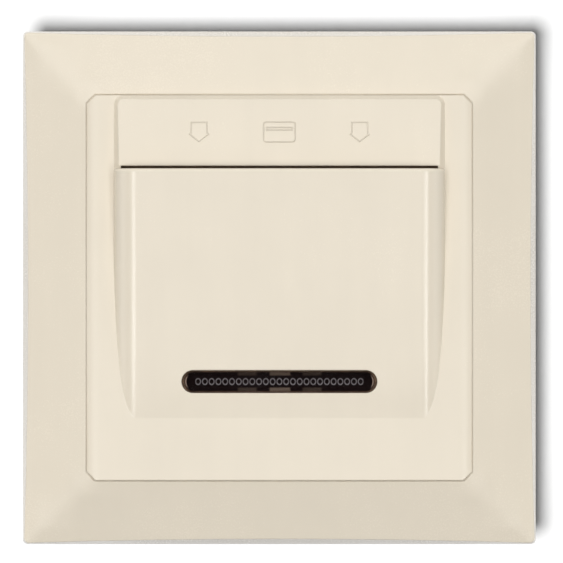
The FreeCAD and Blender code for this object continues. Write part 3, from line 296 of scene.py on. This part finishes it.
WINDOW_Z = -16.06
WINDOW_END = 14.8
END_STRETCH = 1.2
RIM_SPAN = (1.52, 1.84)
# Painted highlight: how far past the window's straight part the pale arc begins.
HIGHLIGHT_ARC_FROM = (0.7, 1.2)
SMOKE_DARK = (0.0065, 0.0022, 0.0026)
SMOKE_LIGHT = (0.011, 0.004, 0.004)
RIM_BROWN = (0.20, 0.125, 0.08)
# Painted highlight: the pale colour of the arc near each end of the window.
HIGHLIGHT_ARC_PALE = (0.55, 0.40, 0.32)
SMOKE_ALPHA = 0.14
RIM_ALPHA = 0.9
RING_PITCH = 1.16
RING_ROW = 14.4
RING_FLATNESS = 0.84
RING_DARK = (0.60, 0.55, 0.57)
RING_LIGHT = (0.74, 0.69, 0.72)
POSTS_FROM = (0.95, 1.15)
SIDE_POSTS = (-5.5, 5.6)
SIDE_POST_SHARE = 0.35
STRIP_DARK = (0.012, 0.004, 0.004)
POST_BROWN = (0.34, 0.25, 0.19)


def smoked_window(name):
    """Smoked window, brown at its rim, that the light strip shows through, with a painted
    highlight: a thin pale arc near each end.
    """
    made, tree, shader = new_material(name)
    place = places(tree)
    x, _, z = axes(tree, place)
    haze = noise(tree, place, size=2.2, detail=3.0)
    past = larger(tree, minus(tree, absolute(tree, x), WINDOW_END), 0.0)
    reach = distance(tree, times(tree, past, END_STRETCH), minus(tree, z, WINDOW_Z))
    rim = times(tree, rising(tree, reach, *RIM_SPAN), remap(tree, haze, 0.6, 1.0))
    # Painted highlight: a thin pale arc near each end of the window, painted into the colour and
    # made nearly opaque.
    painted_highlight_arc = times(tree, band(tree, reach, centre=1.45, half=0.09, soft=0.06),
                     rising(tree, past, *HIGHLIGHT_ARC_FROM))
    dark = blend_colours(tree, rising(tree, haze), SMOKE_DARK, SMOKE_LIGHT)
    edge = blend_colours(tree, rim, dark, RIM_BROWN)
    colours = blend_colours(tree, painted_highlight_arc, edge, HIGHLIGHT_ARC_PALE)
    surface(tree, shader, colours, remap(tree, haze, 0.10, 0.16))
    solid = remap(tree, larger(tree, rim, painted_highlight_arc), SMOKE_ALPHA, RIM_ALPHA, 0.0, 1.0)
    tree.links.new(solid, shader.inputs["Alpha"])
    shader.inputs["Specular IOR Level"].default_value = 0.03
    bump(tree, shader, haze, 0.1, depth=0.004)
    return made


def glow_strip(name):
    """Frosted strip: a row of pale rings on a dark body, with brown posts beside the row."""
    made, tree, shader = new_material(name)
    place = places(tree)
    x, _, z = axes(tree, place)
    frost = noise(tree, place, size=0.5, detail=3.0)
    across = minus(tree, z, WINDOW_Z)
    lane = combine(tree, "FLOORED_MODULO", plus(tree, x, RING_PITCH / 2), RING_PITCH)
    reach = distance(tree, minus(tree, lane, RING_PITCH / 2), times(tree, across, RING_FLATNESS))
    ring = times(tree, band(tree, reach, centre=0.42, half=0.075, soft=0.06),
                 band(tree, x, centre=0.0, half=RING_ROW, soft=0.1))
    posts = band(tree, x, centre=0.1, half=1.75, soft=0.15)
    for centre in SIDE_POSTS:
        side_post = times(tree, SIDE_POST_SHARE, band(tree, x, centre, half=1.6, soft=0.2))
        posts = larger(tree, posts, side_post)
    beside = rising(tree, absolute(tree, across), *POSTS_FROM)
    body = blend_colours(tree, times(tree, posts, beside), STRIP_DARK, POST_BROWN)
    pale = blend_colours(tree, rising(tree, frost), RING_DARK, RING_LIGHT)
    surface(tree, shader, blend_colours(tree, ring, body, pale), remap(tree, frost, 0.35, 0.5))
    shader.inputs["Specular IOR Level"].default_value = 0.05
    bump(tree, shader, frost, 0.2, depth=0.01)
    return made


# The lamp, its board and its resistor

GLASS_ALPHA = 0.45
GLASS_DARK = (0.92, 0.60, 0.38)
GLASS_LIGHT = (0.97, 0.80, 0.62)
LACQUER_DARK = (0.045, 0.17, 0.07)
LACQUER_LIGHT = (0.08, 0.25, 0.11)
RESISTOR_SPAN = (-18.0, -13.6)
RESISTOR_TAN = (0.55, 0.38, 0.20)
RESISTOR_SPECK = (0.2, 0.12, 0.06)
RESISTOR_RINGS = [(0.20, 0.28, (0.30, 0.10, 0.03)), (0.38, 0.46, (0.75, 0.35, 0.02)),
                  (0.56, 0.64, (0.70, 0.52, 0.02)), (0.78, 0.86, (0.45, 0.32, 0.08))]


def lamp_glass(name):
    """Thin tinted glass."""
    made, tree, shader = new_material(name)
    haze = noise(tree, places(tree), size=1.2, detail=2.0)
    colours = blend_colours(tree, rising(tree, haze), GLASS_DARK, GLASS_LIGHT)
    surface(tree, shader, colours, remap(tree, haze, 0.04, 0.09))
    shader.inputs["Alpha"].default_value = GLASS_ALPHA
    return made


def laminate(name):
    """Circuit laminate: a fine glass weave under a green lacquer."""
    made, tree, shader = new_material(name)
    place = places(tree)
    weave = []
    for direction in ("X", "Z"):
        wave = tree.nodes.new("ShaderNodeTexWave")
        wave.bands_direction = direction
        wave.inputs["Scale"].default_value = 1.3
        wave.inputs["Distortion"].default_value = 0.4
        tree.links.new(place, wave.inputs["Vector"])
        weave.append(wave.outputs["Fac"])
    cloth = times(tree, *weave)
    colours = blend_colours(tree, cloth, LACQUER_DARK, LACQUER_LIGHT)
    surface(tree, shader, colours, remap(tree, cloth, 0.25, 0.4, 0, 1))
    bump(tree, shader, cloth, 0.3, depth=0.01)
    return made


def resistor_body(name):
    """Lacquered resistor with plain colour rings."""
    made, tree, shader = new_material(name)
    place = places(tree)
    z = axes(tree, place)["Z"]
    ramp = tree.nodes.new("ShaderNodeValToRGB")
    ramp.color_ramp.interpolation = "CONSTANT"
    first, last = ramp.color_ramp.elements
    first.color = (*RESISTOR_TAN, 1)
    last.color = (*RESISTOR_TAN, 1)
    for start, stop, colour in RESISTOR_RINGS:
        ramp.color_ramp.elements.new(start).color = (*colour, 1)
        ramp.color_ramp.elements.new(stop).color = (*RESISTOR_TAN, 1)
    tree.links.new(rising(tree, z, *RESISTOR_SPAN), ramp.inputs["Fac"])
    speck = noise(tree, place, size=0.3, detail=3.0)
    colours = blend_colours(tree, remap(tree, speck, 0.0, 0.2), ramp.outputs["Color"],
                            RESISTOR_SPECK)
    surface(tree, shader, colours, remap(tree, speck, 0.3, 0.45))
    bump(tree, shader, speck, 0.3, depth=0.01)
    return made


# Looks of the material slots

CREAM = (0.815, 0.735, 0.600)
looks = {
    "frame_plastic": moulded("frame_plastic", scaled(CREAM, 1.03), rough=0.24, soft_edge=0.3,
                             soft_mitre=True),
    "plate_plastic": moulded("plate_plastic", CREAM, rough=0.22, soft_edge=0.3),
    # Dark plastic. Its brown tint is partly painted light: it stands in for warm light bounced into
    # the card slot from the cream walls.
    "black_plastic": moulded("black_plastic", (0.20, 0.13, 0.075), rough=0.5, grain=0.3,
                             depth=0.01, uneven=0.1),
    "smoked_lens": smoked_window("smoked_lens"),
    "clear_plastic": glow_strip("clear_plastic"),
    "zinc_steel": zinc("zinc_steel"),
    "grey_plastic": moulded("grey_plastic", (0.56, 0.56, 0.54), rough=0.5, grain=0.35,
                            depth=0.012, uneven=0.04),
    "screw_steel": metal("screw_steel", (0.66, 0.64, 0.60), rough=0.24, stretch=(1, 0.2, 1)),
    "lever_plastic": moulded("lever_plastic", (0.72, 0.72, 0.69), rough=0.45, grain=0.3,
                             depth=0.008, uneven=0.03),
    "contact_brass": metal("contact_brass", (0.80, 0.58, 0.26), rough=0.28, stretch=(1, 1, 0.1),
                           stain=0.2),
    "contact_silver": metal("contact_silver", (0.84, 0.83, 0.80), rough=0.3, stain=0.12),
    "spring_steel": metal("spring_steel", (0.52, 0.52, 0.53), rough=0.3, stretch=(1, 1, 0.08),
                          stain=0.15),
    "button_plastic": moulded("button_plastic", (0.78, 0.19, 0.03), rough=0.42, grain=0.3,
                              depth=0.008, uneven=0.05),
    "board_laminate": laminate("board_laminate"),
    "lamp_glass": lamp_glass("lamp_glass"),
    "lead_wire": metal("lead_wire", (0.76, 0.75, 0.72), rough=0.3, stretch=(0.1, 1, 1)),
    "resistor_ceramic": resistor_body("resistor_ceramic"),
    "claw_steel": metal("claw_steel", (0.66, 0.60, 0.44), rough=0.34, stretch=(1, 0.08, 1),
                        stain=0.18),
}
for row in frame["record"]["subparts"]:
    thing = nodes[row["node"]]
    thing.data.materials.clear()
    thing.data.materials.append(looks[row["material_slot"]])

# Pieces of the plate that only the scene has


def skin(mesh, rings):
    """Faces from each ring of points to the next, and from the last ring to the first."""
    for number, ring in enumerate(rings):
        following = rings[(number + 1) % len(rings)]
        for side, corner in enumerate(ring):
            other = (side + 1) % len(ring)
            mesh.faces.new((corner, ring[other], following[other], following[side]))


def plate_piece(name, mesh):
    """A mesh turned into a piece of the plate's plastic that rides on the root."""
    bmesh.ops.recalc_face_normals(mesh, faces=mesh.faces)
    data = bpy.data.meshes.new(name)
    mesh.to_mesh(data)
    mesh.free()
    made = bpy.data.objects.new(name, data)
    bpy.context.scene.collection.objects.link(made)
    data.materials.append(looks["plate_plastic"])
    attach(made, "root")


# Signs on the label land

LAND_LOW_Z = 20.86
LAND_LOW_DEPTH = 11.7
LAND_FALL = 0.6 / 13.11
SIGN_RISE = 0.055
SIGN_SINK = 0.02
SIGN_WIDTH = 0.28
SIGN_FOOT = 0.5
SIGN_TOP = 0.3
SIGN_Z = 26.66
ARROW_X = 13.74
STRIPE_UP = 0.55
SHARPEST = 0.35


def land_depth(z):
    return LAND_LOW_DEPTH - LAND_FALL * (z - LAND_LOW_Z)


def ribbon(mesh, points):
    """A closed raised line: a flat-topped ridge with sloping sides along the points."""
    section = ((-SIGN_FOOT, -SIGN_SINK), (-SIGN_TOP, SIGN_RISE), (SIGN_TOP, SIGN_RISE),
               (SIGN_FOOT, -SIGN_SINK))
    rings = []
    for number, point in enumerate(points):
        before = Vector(points[number - 1])
        here = Vector(point)
        after = Vector(points[(number + 1) % len(points)])
        one = (here - before).normalized()
        two = (after - here).normalized()
        across = Vector((-(one + two).y, (one + two).x)).normalized()
        reach = 1 / max(SHARPEST, across.dot(Vector((-one.y, one.x))))
        ring = []
        for side, rise in section:
            x, z = here + across * side * SIGN_WIDTH * reach
            ring.append(mesh.verts.new((x * MM, -(land_depth(z) + rise) * MM, z * MM)))
        rings.append(ring)
    skin(mesh, rings)


def sign(name, outlines):
    mesh = bmesh.new()
    for points in outlines:
        ribbon(mesh, points)
    plate_piece(name, mesh)


def arrow_down(x, z):
    half, neck, high = 1.6, 1.35, 1.63
    bend, head = -0.12, -0.42
    return [(x - neck, z + high), (x - neck, z + bend), (x - half, z + head), (x, z - high),
            (x + half, z + head), (x + neck, z + bend), (x + neck, z + high)]


def round_box(x, z, half_x, half_z, radius, steps=4):
    points = []
    for corner, (sx, sz) in enumerate(((1, 1), (-1, 1), (-1, -1), (1, -1))):
        for step in range(steps + 1):
            angle = math.pi / 2 * (corner + step / steps)
            points.append((x + sx * (half_x - radius) + radius * math.cos(angle),
                           z + sz * (half_z - radius) + radius * math.sin(angle)))
    return points


card = round_box(0, SIGN_Z, half_x=2.7, half_z=1.7, radius=0.45)
stripe = round_box(0, SIGN_Z + STRIPE_UP, half_x=2.2, half_z=0.22, radius=0.1)
sign("arrow_sign_left", [arrow_down(-ARROW_X, SIGN_Z)])
sign("arrow_sign_right", [arrow_down(ARROW_X, SIGN_Z)])
sign("card_sign", [card, stripe])

# Seat between plate and frame

SEAT_INNER = 32.97
SEAT_OUTER = 33.13
SEAT_CUT = 1.5
SEAT_FRONT = 9.54
SEAT_BACK = 8.0


def cut_square(half):
    inner = half - SEAT_CUT
    return [(-half, -inner), (-inner, -half), (inner, -half), (half, -inner),
            (half, inner), (inner, half), (-inner, half), (-half, inner)]


def plate_seat():
    """The step moulded round the plate, which closes the gap to the frame just below its face."""
    mesh = bmesh.new()
    loops = []
    for half, depth in ((SEAT_INNER, SEAT_BACK), (SEAT_INNER, SEAT_FRONT),
                        (SEAT_OUTER, SEAT_FRONT), (SEAT_OUTER, SEAT_BACK)):
        loops.append([mesh.verts.new((x * MM, -depth * MM, z * MM)) for x, z in cut_square(half)])
    skin(mesh, loops)
    plate_piece("plate_seat", mesh)


plate_seat()

# Stage

BACKDROP_Y = 28.5 * MM
BACKDROP_HALF = 1.5
BACKDROP_GREY = (0.30, 0.30, 0.30)
ROOM_SPAN = (-0.4, 0.4)


def backdrop():
    """A plain grey sheet behind the switch, open from behind so that back views see the object."""
    data = bpy.data.meshes.new("backdrop")
    half = BACKDROP_HALF
    data.from_pydata([(-half, BACKDROP_Y, -half), (half, BACKDROP_Y, -half),
                      (half, BACKDROP_Y, half), (-half, BACKDROP_Y, half)], [], [(0, 1, 2, 3)])
    made = bpy.data.objects.new("backdrop", data)
    bpy.context.scene.collection.objects.link(made)
    paint = bpy.data.materials.new("backdrop_paint")
    paint.use_nodes = True
    tree = paint.node_tree
    tree.nodes.clear()
    output = tree.nodes.new("ShaderNodeOutputMaterial")
    matt = tree.nodes.new("ShaderNodeBsdfDiffuse")
    matt.inputs["Color"].default_value = (*BACKDROP_GREY, 1)
    clear = tree.nodes.new("ShaderNodeBsdfTransparent")
    side = tree.nodes.new("ShaderNodeNewGeometry")
    mix = tree.nodes.new("ShaderNodeMixShader")
    tree.links.new(side.outputs["Backfacing"], mix.inputs["Fac"])
    tree.links.new(matt.outputs["BSDF"], mix.inputs[1])
    tree.links.new(clear.outputs["BSDF"], mix.inputs[2])
    tree.links.new(mix.outputs["Shader"], output.inputs["Surface"])
    data.materials.append(paint)
    made.visible_diffuse = False
    made.visible_shadow = False
    return made


def world_light(low, high):
    """A soft room, darker towards its floor, with a white surround for what is seen or mirrored."""
    world = bpy.data.worlds.new("soft_room")
    bpy.context.scene.world = world
    world.use_nodes = True
    tree = world.node_tree
    tree.nodes.clear()
    output = tree.nodes.new("ShaderNodeOutputWorld")
    room = tree.nodes.new("ShaderNodeBackground")
    ray = tree.nodes.new("ShaderNodeTexCoord")
    up = axes(tree, ray.outputs["Generated"])["Z"]
    tree.links.new(remap(tree, up, low, high, *ROOM_SPAN), room.inputs["Strength"])
    white = tree.nodes.new("ShaderNodeBackground")
    white.inputs["Strength"].default_value = 1.0
    path = tree.nodes.new("ShaderNodeLightPath")
    mirrored = larger(tree, path.outputs["Is Glossy Ray"], path.outputs["Is Transmission Ray"])
    seen = larger(tree, path.outputs["Is Camera Ray"], mirrored)
    mix = tree.nodes.new("ShaderNodeMixShader")
    tree.links.new(seen, mix.inputs["Fac"])
    tree.links.new(room.outputs["Background"], mix.inputs[1])
    tree.links.new(white.outputs["Background"], mix.inputs[2])
    tree.links.new(mix.outputs["Shader"], output.inputs["Surface"])


def point_at(thing, target):
    direction = Vector(target) - thing.location
    thing.rotation_mode = "QUATERNION"
    thing.rotation_quaternion = direction.to_track_quat("-Z", "Y")


def place_lamp(name, data, place, receivers):
    """A lamp turned to the middle of the switch, which lights its receivers alone."""
    made = bpy.data.objects.new(name, data)
    made.location = place
    bpy.context.scene.collection.objects.link(made)
    point_at(made, (0, 0, 0))
    made.light_linking.receiver_collection = receivers
    return made


def soft_box(name, receivers, place, size, watts, mirrored=True):
    data = bpy.data.lights.new(name, "AREA")
    data.shape = "RECTANGLE"
    data.size, data.size_y = size
    data.energy = watts
    made = place_lamp(name, data, place, receivers)
    made.visible_glossy = mirrored


def wall_sun(receivers, place, strength, spread):
    """A lamp a little low and left, which throws the soft shadow on the backdrop."""
    data = bpy.data.lights.new("wall_sun", "SUN")
    data.energy = strength
    data.angle = math.radians(spread)
    place_lamp("wall_sun", data, place, receivers)


def collection_of(name, things):
    made = bpy.data.collections.new(name)
    for thing in things:
        made.objects.link(thing)
    return made


wall = backdrop()
meshes = [thing for thing in bpy.data.objects if thing.type == "MESH" and thing != wall]
signs = [thing for thing in meshes if "sign" in thing.name]
wall_only = collection_of("wall_only", [wall])
object_only = collection_of("object_only", meshes)
plate_only = collection_of("plate_only", [nodes["centre_plate"]] + signs)
frame_only = collection_of("frame_only", [nodes["cover_frame"]])
world_light(low=0.24, high=0.55)
wall_sun(wall_only, place=(-0.064, -1, -0.060), strength=10.2, spread=7.0)
soft_box("front_box", object_only, place=(-0.05, -1.60, 0.30), size=(1.7, 1.9), watts=13.6)
soft_box("frame_box", frame_only, place=(0.0, -1.50, -0.45), size=(2.6, 1.2), watts=6.4,
         mirrored=False)
soft_box("left_strip", plate_only, place=(-0.40, -1.50, -0.34), size=(0.38, 0.42), watts=2.7)
soft_box("right_strip", plate_only, place=(0.57, -1.45, -0.34), size=(0.30, 0.42), watts=2.7)
soft_box("left_fill", object_only, place=(-1.45, -0.40, 0.1), size=(1.0, 1.0), watts=3.5)
soft_box("right_fill", object_only, place=(1.45, -0.40, 0.1), size=(1.0, 1.0), watts=3.0)
soft_box("back_box", object_only, place=(0.0, 1.60, 0.2), size=(0.6, 0.8), watts=5.5)
soft_box("top_fill", object_only, place=(0.0, -0.12, 1.45), size=(1.2, 0.8), watts=2.6)

# Camera

PIXELS = 563
MM_PER_PIXEL = 0.1717
CAMERA_DISTANCE = 3.0
SENSOR_WIDTH = 36.0
CLIP_END = 20.0
VIEW_X = 0.36 * MM
VIEW_Z = 1.07 * MM

camera_data = bpy.data.cameras.new("camera")
camera_data.sensor_width = SENSOR_WIDTH
camera_data.lens = SENSOR_WIDTH * CAMERA_DISTANCE / (PIXELS * MM_PER_PIXEL * MM)
camera_data.clip_end = CLIP_END
camera = bpy.data.objects.new("camera", camera_data)
bpy.context.scene.collection.objects.link(camera)
camera.location = (VIEW_X, -CAMERA_DISTANCE, VIEW_Z)
point_at(camera, (VIEW_X, 0, VIEW_Z))
bpy.context.scene.camera = camera
bpy.context.scene.view_settings.view_transform = "Standard"
